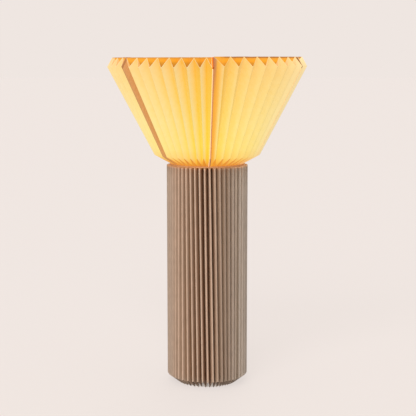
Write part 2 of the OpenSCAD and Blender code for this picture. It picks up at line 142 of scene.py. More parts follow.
def glowingPaper(name, paleStops, warmStops, unevenness=0.03):
    # White uncoated paper lit through: matt, a little sheen from its fuzz, glowing from within.
    # Colour = pale to warm by the attribute warm, both by height, then towards amber, the shadow's and the
    # cut edge's colour by those three attributes, then times the attribute tone. All five attributes carry
    # painted light and shade.
    material, tree, shader = startMaterial(name)
    place = addNode(tree, "TexCoord").outputs["Object"]
    height = addNode(tree, "SeparateXYZ", {0: place}).outputs["Z"]
    share = addNode(tree, "MapRange", {
        "Value": height,
        "From Min": shadeGlow["waist"] * mm,
        "From Max": shadeGlow["rim"] * mm,
        "To Min": -unevenness / 2,
        "To Max": 1 - unevenness / 2}, clamp=False).outputs["Result"]
    cloud = addNode(tree, "TexNoise", {
        "Vector": place, "Scale": 1 / (shadeGlow["mottle"] * mm), "Detail": 3.0}).outputs["Fac"]
    unevenShare = addNode(tree, "Math", {
        0: cloud, 1: unevenness, 2: share}, operation="MULTIPLY_ADD").outputs[0]
    pale = addNode(tree, "ValToRGB", {0: unevenShare}, paleStops).outputs["Color"]
    warm = addNode(tree, "ValToRGB", {0: unevenShare}, warmStops).outputs["Color"]
    warmth = addNode(tree, "Attribute", attribute_name="warm").outputs["Fac"]
    lighter = addNode(tree, "MapRange", {
        "Value": cloud, "From Min": noiseLow, "From Max": noiseHigh,
        "To Min": -shadeGlow["mottleWarmth"], "To Max": shadeGlow["mottleWarmth"]}).outputs["Result"]
    warmth = addNode(tree, "Math", {0: warmth, 1: lighter}, operation="ADD", use_clamp=True).outputs[0]
    wall = addNode(tree, "Mix", {0: warmth, 6: pale, 7: warm}, data_type="RGBA").outputs[2]
    # Painted shade beside the cover, the cover's painted shadow and the painted highlight of the cut edges
    for label in ("amber", "shadowed", "cut"):
        painted = addNode(tree, "Attribute", attribute_name=label).outputs["Fac"]
        wall = addNode(tree, "Mix", {
            0: painted, 6: wall, 7: linearColour(shadeGlow[label])}, data_type="RGBA").outputs[2]
    # Tone: painted shade on outer folds and on one face of each pleat
    tone = addNode(tree, "Attribute", attribute_name="tone").outputs["Fac"]
    colour = addNode(tree, "VectorMath", {0: wall, "Scale": tone}, operation="SCALE").outputs[0]
    reflected = addNode(tree, "VectorMath", {
        0: colour, "Scale": shadeGlow["reflected"]}, operation="SCALE").outputs[0]
    glowing = addNode(tree, "VectorMath", {
        0: colour, "Scale": 1 - shadeGlow["reflected"]}, operation="SCALE").outputs[0]
    fibres = addNode(tree, "TexNoise", {
        "Vector": place, "Scale": 1 / (shadeGlow["fibre"] * mm), "Detail": 4.0}).outputs["Fac"]
    bump = addNode(tree, "Bump", {
        "Height": fibres, "Strength": 0.25, "Distance": shadeGlow["fibreHeight"] * mm}).outputs[0]
    finishShader(tree, shader, {
        "Roughness": 0.9, "Sheen Weight": 0.15, "Sheen Roughness": 0.6,
        "Emission Strength": shadeGlow["strength"], "Specular IOR Level": 0.2,
    }, {"Base Color": reflected, "Emission Color": glowing, "Normal": bump})
    return material


# The pleats' outer face: orange only at the neck, then pale to golden yellow, with no shine
shadeOutside = glowingPaper(
    "uncoatedPaperLitThrough",
    [(0.0, "#F2A850"), (0.04, "#FFC668"), (0.08, "#FFDA86"), (0.16, "#FFE796"), (0.4, "#FFE8A0"),
     (0.8, "#FFE098"), (1.0, "#FFDA94")],
    [(0.0, "#E5922C"), (0.04, "#FCBC28"), (0.08, "#FDD028"), (0.2, "#FFDA3C"), (0.5, "#FCCF3A"),
     (0.8, "#FDC53A"), (1.0, "#FBB630")])
# Their inner face, which looks into the narrow cells: deeper orange
shadeInside = glowingPaper(
    "uncoatedPaperInnerFace",
    [(0.0, "#F2A850"), (0.3, "#FFC050"), (0.8, "#F4A42C"), (1.0, "#FFD08A")],
    [(0.0, "#E5922C"), (0.3, "#FFB830"), (0.8, "#E8961E"), (1.0, "#FFC060")])
# The lining, seen in the rim's notches: orange, darker low in the notches as painted shade, brightest just
# under a brown band along its top edge
liningOutside = glowingPaper(
    "uncoatedLiningInTheCells",
    [(0.0, "#F0A23C"), (0.06, "#F8B044"), (0.91, "#C88424"), (0.945, "#DA9830"), (0.97, "#FAB030"),
     (0.99, "#F4AA3C"), (0.997, "#B4783C")],
    [(0.0, "#E5922C"), (0.06, "#F4A630"), (0.91, "#C07A1C"), (0.945, "#D68C1C"), (0.97, "#FAA010"),
     (0.99, "#EE9C24"), (0.997, "#B07034")], 0.004)
# Its face towards the lamp's middle takes the light straight: nearly white by the neck
liningInside = glowingPaper(
    "uncoatedLiningByTheLight",
    [(0.0, "#FFF3D0"), (0.2, "#FFE9A8"), (0.6, "#FFD880"), (0.98, "#FFC860"), (1.0, "#D09850")],
    [(0.0, "#FFF0C0"), (0.2, "#FFE080"), (0.6, "#FFCB58"), (0.98, "#FFC040"), (1.0, "#C88A4A")])
print("paper materials made")


# Kraft paper and board

def plainFinish(name, hexText, darkHex, values, grain, stretchZ=1.0, bumpStrength=0.15):
    # Colour = dark to light by a noise, which also lifts the surface by up to 0.1 mm. Grain is its size in
    # mm; that of a moulded, coated or brushed skin is a tenth of it and is drawn as coarse as shows. A
    # stretchZ under 1 draws it out along the height, and one over 1 into rings.
    material, tree, shader = startMaterial(name)
    place = addNode(tree, "TexCoord").outputs["Object"]
    stretch = addNode(tree, "Mapping", {"Vector": place, "Scale": (1, 1, stretchZ)}).outputs[0]
    noise = addNode(tree, "TexNoise", {
        "Vector": stretch, "Scale": 1 / (grain * mm), "Detail": 4.0}).outputs["Fac"]
    colour = addNode(tree, "ValToRGB", {0: noise}, [(0.35, darkHex), (0.65, hexText)]).outputs["Color"]
    bump = addNode(tree, "Bump", {"Height": noise, "Strength": bumpStrength, "Distance": 0.1 * mm}).outputs[0]
    finishShader(tree, shader, values, {"Base Color": colour, "Normal": bump})
    return material, tree, shader


spill = {
    "neck": 539,   # mm
    "reach": 10,   # mm that the shade's light reaches down the column
    "most": 0.7,   # its strength at the neck, before it is squared
    "colour": "#FFA648",
}


def spillByHeight(tree, place):
    # Strength = (most times (z - neck + reach) / reach) squared
    height = addNode(tree, "SeparateXYZ", {0: place}).outputs["Z"]
    share = addNode(tree, "MapRange", {
        "Value": height,
        "From Min": (spill["neck"] - spill["reach"]) * mm,
        "From Max": spill["neck"] * mm,
        "To Max": spill["most"]}).outputs["Result"]
    return addNode(tree, "Math", {0: share, 1: 2.0}, operation="POWER").outputs[0]


kraft = {
    "fibre": 2.2,             # mm; real fibres are under 0.1 mm thick, drawn as coarse as shows
    "stretch": 0.18,          # fibres lie up the sheet, 1 / 0.18 times as long as thick
    "fibreHeight": 0.25,      # mm
    "cloud": 26,              # mm, size of slow changes in the pulp's shade
    "fibreTones": (0.93, 1.06), "cloudTones": (0.95, 1.04),  # darkest and lightest, times the colour
    # The colour of the painted pale light at the lamp's sides and by the floor
    "paintedPale": "#D6C6B6",
    "crestLitFrom": 0.02, "crestLitTo": 0.09,  # share of a wall from its outer fold that has the painted highlight
    "boardFibre": 2.6,        # mm, the same two for the liner of the boards
    "boardStretch": 0.25,
}


def kraftPaper(name, crestHexes, leftStops, rightStops):
    # Brown kraft paper, machine finished: matt, long fibres, some fuzz, with a painted highlight on the outer
    # folds.
    # Colour = one of two ramps by the attribute depth, which darken inwards as painted shade, for walls that
    # face left or right by the attribute lean, times hollow, painted shade near the outer folds; then the
    # fold's colour by worn, the painted highlight near the outer folds, then towards bleached by that
    # attribute, painted pale light at the lamp's sides and by the floor; then times the fibres and the
    # clouds.
    material, tree, shader = startMaterial(name)
    place = addNode(tree, "TexCoord").outputs["Object"]
    stretch = addNode(tree, "Mapping", {"Vector": place, "Scale": (1, 1, kraft["stretch"])}).outputs[0]
    fibres = addNode(tree, "TexNoise", {
        "Vector": stretch, "Scale": 1 / (kraft["fibre"] * mm),
        "Detail": 5.0, "Roughness": 0.65}).outputs["Fac"]
    cloud = addNode(tree, "TexNoise", {
        "Vector": place, "Scale": 1 / (kraft["cloud"] * mm), "Detail": 2.0}).outputs["Fac"]
    depth = addNode(tree, "Attribute", attribute_name="depth").outputs["Fac"]
    lean = addNode(tree, "Attribute", attribute_name="lean").outputs["Fac"]
    # Both ramps darken inwards: painted shade in the pleats
    facingLeft = addNode(tree, "ValToRGB", {0: depth}, leftStops).outputs["Color"]
    facingRight = addNode(tree, "ValToRGB", {0: depth}, rightStops).outputs["Color"]
    toRight = addNode(tree, "MapRange", {"Value": lean, "From Min": -1.0}).outputs["Result"]
    wall = addNode(tree, "Mix", {
        0: toRight, 6: facingLeft, 7: facingRight}, data_type="RGBA").outputs[2]
    # Painted shade near the outer folds of the dull walls
    foldShade = addNode(tree, "Attribute", attribute_name="foldShade").outputs["Fac"]
    wall = addNode(tree, "VectorMath", {0: wall, "Scale": foldShade}, operation="SCALE").outputs[0]
    # Painted highlight on the outer folds: the fold's colour by worn over the first part of each wall
    crestLight = addNode(tree, "Attribute", attribute_name="crestLight").outputs["Fac"]
    fold = addNode(tree, "ValToRGB", {0: crestLight}, [(0.0, crestHexes[0]), (1.0, crestHexes[1])]).outputs["Color"]
    crestLit = addNode(tree, "MapRange", {
        "Value": depth, "From Min": kraft["crestLitFrom"], "From Max": kraft["crestLitTo"],
        "To Min": 1.0, "To Max": 0.0}).outputs["Result"]
    paper = addNode(tree, "Mix", {0: crestLit, 6: wall, 7: fold}, data_type="RGBA").outputs[2]
    # Painted pale light at the lamp's sides and by the floor
    paintedPale = addNode(tree, "Attribute", attribute_name="paintedPale").outputs["Fac"]
    paper = addNode(tree, "Mix", {
        0: paintedPale, 6: paper, 7: linearColour(kraft["paintedPale"])}, data_type="RGBA").outputs[2]
    shadeOfFibre = addNode(tree, "MapRange", {
        "Value": fibres, "From Min": noiseLow, "From Max": noiseHigh,
        "To Min": kraft["fibreTones"][0], "To Max": kraft["fibreTones"][1]}).outputs["Result"]
    shadeOfCloud = addNode(tree, "MapRange", {
        "Value": cloud, "From Min": noiseLow, "From Max": noiseHigh,
        "To Min": kraft["cloudTones"][0], "To Max": kraft["cloudTones"][1]}).outputs["Result"]
    tone = addNode(tree, "Math", {0: shadeOfFibre, 1: shadeOfCloud}, operation="MULTIPLY").outputs[0]
    colour = addNode(tree, "VectorMath", {0: paper, "Scale": tone}, operation="SCALE").outputs[0]
    bump = addNode(tree, "Bump", {
        "Height": fibres, "Strength": 0.35, "Distance": kraft["fibreHeight"] * mm}).outputs[0]
    finishShader(tree, shader, {
        "Roughness": 0.82, "Specular IOR Level": 0.12, "Sheen Weight": 0.06, "Sheen Roughness": 0.5,
        "Emission Color": linearColour(spill["colour"]),
    }, {"Base Color": colour, "Normal": bump, "Emission Strength": spillByHeight(tree, place)})
    return material


boardTip = {"r": 239, "z": 772}    # mm, the ends of a board's slanting top edge
boardTop = {"r": 226.6, "z": 793}
cutBand = {"width": 4.6, "blend": 0.3}  # mm, the strip along that edge that shows as cut board


def kraftBoard(name, baseHex, darkHex, topHex, glow):
    # Kraft-lined greyboard, die cut: matt liner, fibres along its length, some glow from the shade's light.
    # It has the cut edge's colour where r cos a + z sin a is within the band's width of what the slanting
    # top edge has, with a the way that the edge faces.
    material, tree, shader = startMaterial(name)
    place = addNode(tree, "TexCoord").outputs["Object"]
    stretch = addNode(tree, "Mapping", {"Vector": place, "Scale": (1, 1, kraft["boardStretch"])}).outputs[0]
    fibres = addNode(tree, "TexNoise", {
        "Vector": stretch, "Scale": 1 / (kraft["boardFibre"] * mm),
        "Detail": 5.0, "Roughness": 0.6}).outputs["Fac"]
    liner = addNode(tree, "ValToRGB", {
        0: fibres}, [(noiseLow, darkHex), (noiseHigh, baseHex)]).outputs["Color"]
    flat = addNode(tree, "VectorMath", {0: place, 1: (1, 1, 0)}, operation="MULTIPLY").outputs[0]
    radius = addNode(tree, "VectorMath", {0: flat}, operation="LENGTH").outputs["Value"]
    height = addNode(tree, "SeparateXYZ", {0: place}).outputs["Z"]
    facing = math.atan2(boardTip["r"] - boardTop["r"], boardTop["z"] - boardTip["z"])
    reach = boardTip["r"] * math.cos(facing) + boardTip["z"] * math.sin(facing)
    outwards = addNode(tree, "Math", {0: radius, 1: math.cos(facing)}, operation="MULTIPLY").outputs[0]
    upwards = addNode(tree, "Math", {
        0: height, 1: math.sin(facing), 2: outwards}, operation="MULTIPLY_ADD").outputs[0]
    atTop = addNode(tree, "MapRange", {
        "Value": upwards,
        "From Min": (reach - cutBand["width"]) * mm,
        "From Max": (reach - cutBand["width"] + cutBand["blend"]) * mm}).outputs["Result"]
    colour = addNode(tree, "Mix", {
        0: atTop, 6: liner, 7: linearColour(topHex)}, data_type="RGBA").outputs[2]
    bump = addNode(tree, "Bump", {
        "Height": fibres, "Strength": 0.3, "Distance": kraft["fibreHeight"] * mm}).outputs[0]
    finishShader(tree, shader, {
        "Roughness": 0.8, "Specular IOR Level": 0.2, "Emission Strength": glow,
    }, {"Base Color": colour, "Emission Color": colour, "Normal": bump})
    return material


# The column's outer face: painted shade darkens the walls inwards, more on those that face right, and the
# outer folds have a painted highlight
columnOutside = kraftPaper(
    "kraftPaper", ("#A38B78", "#CEAE95"),
    [(0.1, "#D2B294"), (0.45, "#C29C78"), (1.0, "#965E2A")],
    [(0.1, "#BFA189"), (0.5, "#AA825E"), (1.0, "#8A541C")])
# Its inner face is a nearly even brown, with little painted shade
columnInside = kraftPaper(
    "kraftPaperInnerFace", ("#B89478", "#C49A78"),
    [(0.1, "#BC9476"), (1.0, "#B08866")],
    [(0.1, "#BC9070"), (1.0, "#B08260")])
# Boards and covers of the shade: the more light comes round a board, the paler and more golden it is
shadeBoardSkin = kraftBoard("kraftLinedBoard", "#C69566", "#BC8A5A", "#A8744A", 0.35)
rightBoardSkin = kraftBoard("kraftLinedBoardPale", "#F2CC92", "#ECC084", "#82542F", 0.5)
fixedCoverSkin = kraftBoard("kraftLinedBoardSeam", "#D2946A", "#C8885E", "#A85C34", 0.3)
# The free cover is the same kraft-lined board, paler by painted light
freeCoverSkin = kraftBoard("kraftLinedBoardMostLit", "#F8D29C", "#F2C88E", "#D86C08", 0.6)
neckBoardSkin = kraftBoard("kraftLinedBoardNeck", "#D09C6C", "#C48E5E", "#D09C6C", 0.2)
# The column's covers: the same board in plain daylight, dull brown, with the shade's light on their tops
columnBoardSkin, tree, shader = plainFinish(
    "kraftLinedBoardColumn", "#A08A75", "#8C7763", {"Roughness": 0.8, "Specular IOR Level": 0.2},
    kraft["boardFibre"], kraft["boardStretch"], 0.3)
shader.inputs["Emission Color"].default_value = linearColour(spill["colour"])
place = addNode(tree, "TexCoord").outputs["Object"]
tree.links.new(spillByHeight(tree, place), shader.inputs["Emission Strength"])


# Pleated sheets

crest = {"shade": (0.9, 0.9), "column": (1.7, 1.3)}    # half width and height of a rounded outer fold, mm
trough = {"shade": (0.5, 0.5), "column": (0.6, 0.6)}   # the same for an inner fold
crestTurns = np.radians([-90, -54, -18, 18, 54, 90])   # where its six lines lie on the half ellipse
slack = {
    "belly": 0.45,                                       # mm
    "waves": 5.1, "nextLine": 1.7,                       # radians up a wall, and from line to line
    "nextSheet": 3.1, "nextFan": 2.3, "ofLining": 1.3,  # so that no two sheets or fans are alike
}

shade = {
    "seam": 3.2, "spans": (64, 60, 59, 60, 59.5, 57.5), "lead": 6.2, "pleats": 8,
    "waistR": 127.5, "rimR": 239, "waistDepth": 40, "rimDepth": 13, "bevel": 21, "inset": 0.5,
    "bottom": 539.3, "top": 793, "paper": 0.45, "rows": 26, "wallSteps": 5, "cuts": (4, 12),
    "uneven": 0.9,    # degrees by which the folds of a sheet bunch towards one of its ends
    "step": 1.3,      # mm that the rim stands high on the right of the seam and low on its left
    "liningWaistDepth": 7, "liningRimDepth": 12, "liningGap": 0.55,
    "board": 2, "cover": 2, "glue": 0.1, "gap": 0.3,
}
column = {
    "seam": 47, "spans": (62, 62, 62, 62, 54, 58), "folds": 16, "r": 98.5, "inset": 0.8, "face": 28,
    "bevel": 20, "bottom": 0.3, "top": 535.7, "paper": 0.5, "rows": 34, "wallSteps": 6,
    # degrees that the folds turn to the right at the foot, by their degrees from the front
    "drift": ((-75, 0), (-47, -2.2), (-39, -0.4), (-32, 1.9), (-25, 3.5), (-5, 4.6), (2, 5.2), (18, 4.3),
              (46, 0)),
    "cover": 2, "glue": 0.1, "gap": 0.3, "cut": 12, "firstCut": 7, "groups": 8,
}


def smoothStep(low, high, x):
    # t = (x - low) / (high - low), held between 0 and 1; the step is t squared times (3 - 2 t)
    t = np.clip((x - low) / (high - low), 0, 1)
    return t * t * (3 - 2 * t)


cutEdge = 0.008  # share of a wall's height by which the rows next to its cut edges stand in


def rowShares(rows):
    # The two cut edges, and between them even rows from just inside the one to just inside the other
    return np.concatenate([[0.0], np.linspace(cutEdge, 1 - cutEdge, rows - 2), [1.0]])


def keyLines(folds, kind):
    # A fold row is angle, sideways shift, 1 outer or 0 inner, 1 at the sheet's end. An end is one line.
    # Another fold is half an ellipse: shift = half width times sin t, tuck = height times (1 - cos t), with t
    # from -90 to 90. A line's last value is its lean, from -1 to 1, by which its wall faces left or right.
    lines = []
    for angle, shift, outer, end in folds:
        if end:
            lines.append([[angle, shift, outer, 0, 0]])
            continue
        halfWidth, height = (crest if outer else trough)[kind]
        side = 1 if outer else -1
        lines.append([[angle, shift + halfWidth * math.sin(t), outer, height * (1 - math.cos(t)),
                       side * math.sin(t)] for t in crestTurns])
    lines[0][0][4] = lines[1][0][4]
    lines[-1][0][4] = lines[-2][-1][4]
    return lines


def sheetPoints(folds, kind, radiusAndHeight, steps, rows, turn, seed):
    # Point = (1 - u) times one fold's line + u times the next one's, each straight in v from foot to top:
    # x = r sin a + s cos a, y = s sin a - r cos a, with radius r, shift s and angle a, which turn() may
    # change with v. Depth = 0 at the outer folds and 1 at the inner ones.
    lines = keyLines(folds, kind)
    flat = np.array([row for group in lines for row in group])
    v = rowShares(rows)
    radius, height = radiusAndHeight(flat[:, 2], flat[:, 3], v)
    angle = np.radians(flat[:, 0][:, None] + turn(flat[:, 0][:, None], v[None, :]))
    shift = flat[:, 1][:, None]
    keys = np.stack([
        radius * np.sin(angle) + shift * np.cos(angle),
        shift * np.sin(angle) - radius * np.cos(angle),
        height], axis=2)
    starts = []
    shares = []
    first = 0
    for i, group in enumerate(lines):
        starts += list(range(first, first + len(group)))
        shares += [0.0] * len(group)
        first += len(group)
        if i < len(lines) - 1:
            inner = np.linspace(0, 1, steps + 1)[1:-1]
            starts += [first - 1] * len(inner)
            shares += list(inner)
    starts = np.array(starts)
    u = np.array(shares)
    after = np.minimum(starts + 1, len(flat) - 1)
    points = keys[starts] * (1 - u)[:, None, None] + keys[after] * u[:, None, None]
    lean = flat[starts, 4] * (1 - u) + flat[after, 4] * u
    depth = 1 - (flat[starts, 2] * (1 - u) + flat[after, 2] * u)
    normals = skinNormals(points)
    # Slack of the paper: push along the normal = belly times sin(pi u) times a slow wave up the wall
    across = np.sin(math.pi * u)[:, None]
    up = np.sin(v[None, :] * slack["waves"] + starts[:, None] * slack["nextLine"] + seed)
    points = points + normals * (across * up * slack["belly"])[:, :, None]
    return points, lean, depth


def skinNormals(points):
    # Unit normal = (step across) x (step up)
    normal = np.cross(np.gradient(points, axis=0), np.gradient(points, axis=1))
    return normal / np.linalg.norm(normal, axis=2, keepdims=True)


def degreesFromFront(points):
    # Turn = atan2(x, -y), more than 0 on the right
    return np.degrees(np.arctan2(points[:, :, 0], -points[:, :, 1]))


def sheetPiece(name, parts, paper, materials):
    # Outer skin = points + half the paper along the normal, inner skin = points - half of it. The edge that
    # closes them has the outer skin's material: the part's first one.
    vertices, faces, skins = [], [], []
    weights = {label: [] for label in parts[0]["weights"]}
    base = 0
    for part in parts:
        points = part["points"]
        firstMaterial = part["material"]
        across, up = points.shape[:2]
        normal = skinNormals(points) * paper / 2
        count = across * up
        index = np.arange(count).reshape(across, up)
        a, b, c, d = index[:-1, :-1], index[1:, :-1], index[1:, 1:], index[:-1, 1:]
        front = np.stack([a, b, c, d], axis=2).reshape(-1, 4)
        back = front[:, ::-1] + count
        edge = np.concatenate([index[:, 0], index[-1, 1:], index[-2::-1, -1], index[0, -2:0:-1]])
        follow = np.roll(edge, -1)
        rim = np.stack([follow, edge, edge + count, follow + count], axis=1)
        faces.append(np.concatenate([front, back, rim]) + base)
        skins.append(np.repeat(
            [firstMaterial, firstMaterial + 1, firstMaterial], [len(front), len(back), len(rim)]))
        vertices.append(np.concatenate([(points + normal).reshape(-1, 3), (points - normal).reshape(-1, 3)]))
        for label, values in part["weights"].items():
            weights[label].append(np.tile((values + 0 * points[:, :, 0]).ravel(), 2))
        base += 2 * count
    return meshPiece(
        name, np.concatenate(vertices) * mm, np.concatenate(faces), materials,
        np.concatenate(skins).astype(np.int32),
        {label: np.concatenate(values) for label, values in weights.items()})


# The shade's own lines

def shadeLine(outer, tuck, v):
    # Outer folds run from the waist's tips to the rim's, and inner ones from the neck to the rim's top
    o = outer[:, None]
    bottomR = np.where(o, shade["waistR"], shade["waistR"] - shade["waistDepth"])
    topR = np.where(o, shade["rimR"], shade["rimR"] - shade["rimDepth"])
    bottomZ = shade["bottom"] + o * shade["bevel"]
    topZ = shade["top"] - o * shade["bevel"]
    radius = bottomR + (topR - bottomR) * v + np.where(o, -tuck[:, None] - shade["inset"], tuck[:, None])
    return radius, bottomZ + (topZ - bottomZ) * v


def liningLine(outer, tuck, v):
    # Outer folds are glued inside the pleats' inner ones, and inner ones point further in; the ends are flat
    o = outer[:, None]
    bottomIn = np.where(o, shade["liningGap"], shade["liningWaistDepth"])
    topIn = np.where(o, shade["liningGap"], shade["liningRimDepth"])
    bottomR = shade["waistR"] - shade["waistDepth"] - bottomIn
    topR = shade["rimR"] - shade["rimDepth"] - topIn
    radius = bottomR + (topR - bottomR) * v + np.where(o, -tuck[:, None], tuck[:, None])
    return radius, shade["bottom"] + (shade["top"] - shade["bottom"]) * v + 0 * o


def shadeBoardAngle(sheet):
    # Angle = the seam's + the spans of the sheets before this one
    return shade["seam"] + sum(shade["spans"][:sheet])


def shadeFoldAngle(sheet, fold):
    # Fold 0 lies at the board, odd folds are evenly spaced outer ones, and even ones lie halfway between.
    # Then all are bunched towards one end by uneven times sin(pi times their share of the span).
    start = shadeBoardAngle(sheet)
    span = shade["spans"][sheet]
    pitch = (span - shade["lead"]) / (shade["pleats"] - 1)
    angle = start if fold == 0 else start + shade["lead"] + (fold - 1) * pitch / 2
    bunch = shade["uneven"] * math.sin(math.pi * (angle - start) / span)
    return angle - bunch * (-1) ** sheet


shadeLastSheet = len(shade["spans"]) - 1
shadeLastFold = 2 * shade["pleats"] - 1


def shadeEdge(sheet, fold):
    # The shift of a sheet's end, mm: half a board, or at the seam a cover and half the gap, and the glue
    atSeam = (sheet, fold) in ((0, 0), (shadeLastSheet, shadeLastFold))
    board = shade["cover"] + shade["gap"] / 2 if atSeam else shade["board"] / 2
    if fold == 0:
        return board + shade["glue"]
    if fold == shadeLastFold:
        return -board - shade["glue"]
    return 0


def shadeParts(sheet, first, last):
    # The pleats of part of a sheet, and the lining behind them
    parts = []
    for line, lined in ((shadeLine, 0), (liningLine, 1)):
        folds = [(shadeFoldAngle(sheet, m), shadeEdge(sheet, m), (m + lined) % 2, m in (first, last))
                 for m in range(first, last + 1)]
        points, lean, depth = sheetPoints(
            folds, "shade", line, shade["wallSteps"], shade["rows"], lambda a, v: 0 * a * v,
            sheet * slack["nextSheet"] + first + slack["ofLining"] * lined)
        # Lift = step times the height's share times cos(half the turn from the seam)
        turned = (degreesFromFront(points) - shade["seam"]) % 360
        share = (points[:, :, 2] - shade["bottom"]) / (shade["top"] - shade["bottom"])
        points[:, :, 2] += shade["step"] * share * np.cos(np.radians(turned / 2))
        parts.append({
            "points": points, "material": 2 * lined,
            "weights": paperWeights(turned, lean[:, None], depth[:, None], share, lined)})
    return parts


# How the light inside colours the walls on either side of the seam, with painted light and shade, matched to
# the
# photograph: turns are in degrees from the seam, depths are shares of a wall from its outer fold
leftTint = {
    "warm": 0.3, "warmAtSeam": 0.75, "fade": 38,
    "awayWarm": 0.08, "awayLess": 0.13, "awayPower": 1.3,  # walls that face away from the seam
    "tone": 0.98, "faceTone": 0.03,
    "cut": 0.75,
    "sides": 0.3, "sidesTurns": (62, 88),                  # the painted highlight at the lamp's side
}
rightTint = {
    "warm": 0.9, "lessWarm": 0.04, "fade": 32, "warmOut": 0.08,
    "foldDepth": 0.35, "paleFold": 0.8, "paleFade": 50,    # outer folds of walls that face left
    "foldTone": 0.03, "sideFoldTone": 0.05, "sideFoldTurns": (30, 50), "foldToneDepth": 0.1,
    "faceTone": 0.03,
    "brighter": 0.03, "brighterAtRim": 0.04, "brighterTurns": (40, 75),
    "cut": 0.35,
    "sides": 0.75, "sidesTurns": (42, 80),
    "amber": 0.9, "amberTurn": 6.5,                        # painted shade on the wall beside the cover
    "coverDepth": 0.9, "coverAtRim": 0.18, "coverBlend": 0.08, "shadow": 0.3, "shadowAtRim": 0.6,
}


def paperWeights(turned, lean, depth, share, lined):
    # Painted light and shade: the walls are paler or warmer as painted light falls on them. Left of the seam,
    # warm = warm + warmAtSeam times exp(-(turn / fade)^2) on the walls that face it, and nearly the same
    # towards the inner folds of the others. Right of it, it is warm times exp(-turn / fade) less lessWarm,
    # and less near the outer folds of walls that face left. The wall beside the cover is amber, painted
    # shade, by exp(-(turn / amberTurn)^4), and the cover keeps the light off its inner part, a painted
    # shadow. Tone is a little under 1 on the left, on outer folds and on one face of each pleat, which is
    # painted shade, and rises at the right side. Towards both sides of the lamp the walls take the cut edge's
    # colour, which is the palest: a painted highlight, as on the cut edges.
    left = turned > 180
    turn = np.where(left, 360 - turned, turned)
    facingLeft = (1 - lean) / 2
    inFolds = leftTint["warm"] + leftTint["warmAtSeam"] * np.exp(-(turn / leftTint["fade"]) ** 2)
    away = leftTint["awayWarm"] + (inFolds - leftTint["awayLess"]) * depth ** leftTint["awayPower"]
    warmLeft = inFolds * facingLeft + (1 - facingLeft) * away
    nearFold = facingLeft * np.exp(-(depth / rightTint["foldDepth"]) ** 2)
    warmRight = rightTint["warm"] * np.exp(-turn / rightTint["fade"]) - rightTint["lessWarm"]
    warmRight = warmRight * (1 - rightTint["paleFold"] * nearFold * np.exp(-turn / rightTint["paleFade"]))
    warmRight = warmRight + rightTint["warmOut"] * (1 - depth)
    onFold = np.exp(-depth / rightTint["foldToneDepth"])
    sideTone = rightTint["sideFoldTone"] * smoothStep(*rightTint["sideFoldTurns"], turn)
    toneRight = 1.0 - (rightTint["foldTone"] + sideTone) * onFold - rightTint["faceTone"] * (1 - facingLeft)
    brighter = rightTint["brighter"] + rightTint["brighterAtRim"] * share
    toneRight = toneRight + brighter * smoothStep(*rightTint["brighterTurns"], turn)
    beside = np.exp(-(turn / rightTint["amberTurn"]) ** 4)
    behindCover = rightTint["coverDepth"] - rightTint["coverAtRim"] * share
    shadow = rightTint["shadow"] + rightTint["shadowAtRim"] * share
    behind = smoothStep(behindCover, behindCover + rightTint["coverBlend"], depth)
    cut = np.zeros(shade["rows"])
    cut[-1] = 0 if lined else 1
    sides = np.where(
        left, leftTint["sides"] * smoothStep(*leftTint["sidesTurns"], turn),
        rightTint["sides"] * smoothStep(*rightTint["sidesTurns"], turn))
    return {
        "cut": np.maximum(cut * np.where(left, leftTint["cut"], rightTint["cut"]), sides * (1 - lined)),
        "warm": np.where(left, warmLeft, warmRight),
        "amber": np.where(left, 0, rightTint["amber"] * beside * (1 - nearFold)),
        "shadowed": np.where(left | (lined > 0), 0, behind * (turn < rightTint["amberTurn"]) * shadow),
        "tone": np.where(left, leftTint["tone"] - leftTint["faceTone"] * facingLeft, toneRight)}


def foldTogether(piece):
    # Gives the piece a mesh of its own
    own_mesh(piece)


for group in range(2 * len(shade["spans"]) + 1):
    sheet = group // 2
    if group % 2:
        parts = shadeParts(sheet, *shade["cuts"])
    else:
        parts = []
        if sheet > 0:
            parts += shadeParts(sheet - 1, shade["cuts"][1], shadeLastFold)
        if sheet <= shadeLastSheet:
            parts += shadeParts(sheet, 0, shade["cuts"][0])
    piece = sheetPiece(
        f"shadePaper{group}", parts, shade["paper"],
        [shadeOutside, shadeInside, liningOutside, liningInside])
    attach(piece, "root" if group == 0 else f"shade_fan_{group}")
    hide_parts(f"shade_pleats_{group}")
    foldTogether(piece)
print("shade sheets made")


# The column's own lines

columnLastFold = column["folds"] * len(column["spans"])


def columnAngle(fold):
    # Angle = the seam's + the spans before this one + the fold's share of its own span
    sheet = min(fold // column["folds"], len(column["spans"]) - 1)
    within = (fold / column["folds"] - sheet) * column["spans"][sheet]
    return column["seam"] + sum(column["spans"][:sheet]) + within


def columnLine(outer, tuck, v):
    # Straight walls; the foot of an outer fold is cut on a slant. The inner folds' radius follows from the
    # face, a wall's width: ridge cos p - root(face squared - (ridge sin p) squared), p half a pleat's angle.
    o = outer[:, None]
    halfPitch = math.radians(360 / columnLastFold)
    ridge = column["r"] - column["inset"]
    valley = ridge * math.cos(halfPitch) - math.sqrt(column["face"] ** 2 - (ridge * math.sin(halfPitch)) ** 2)
    radius = np.where(o, ridge - tuck[:, None], valley + tuck[:, None]) + 0 * v
    bottom = column["bottom"] + o * column["bevel"]
    return radius, bottom + (column["top"] - bottom) * v


def columnTurn(angle, v):
    # Lean = drift at the fold times (1 - v)
    front = (angle + 180) % 360 - 180
    return np.interp(front, *zip(*column["drift"])) * (1 - v)


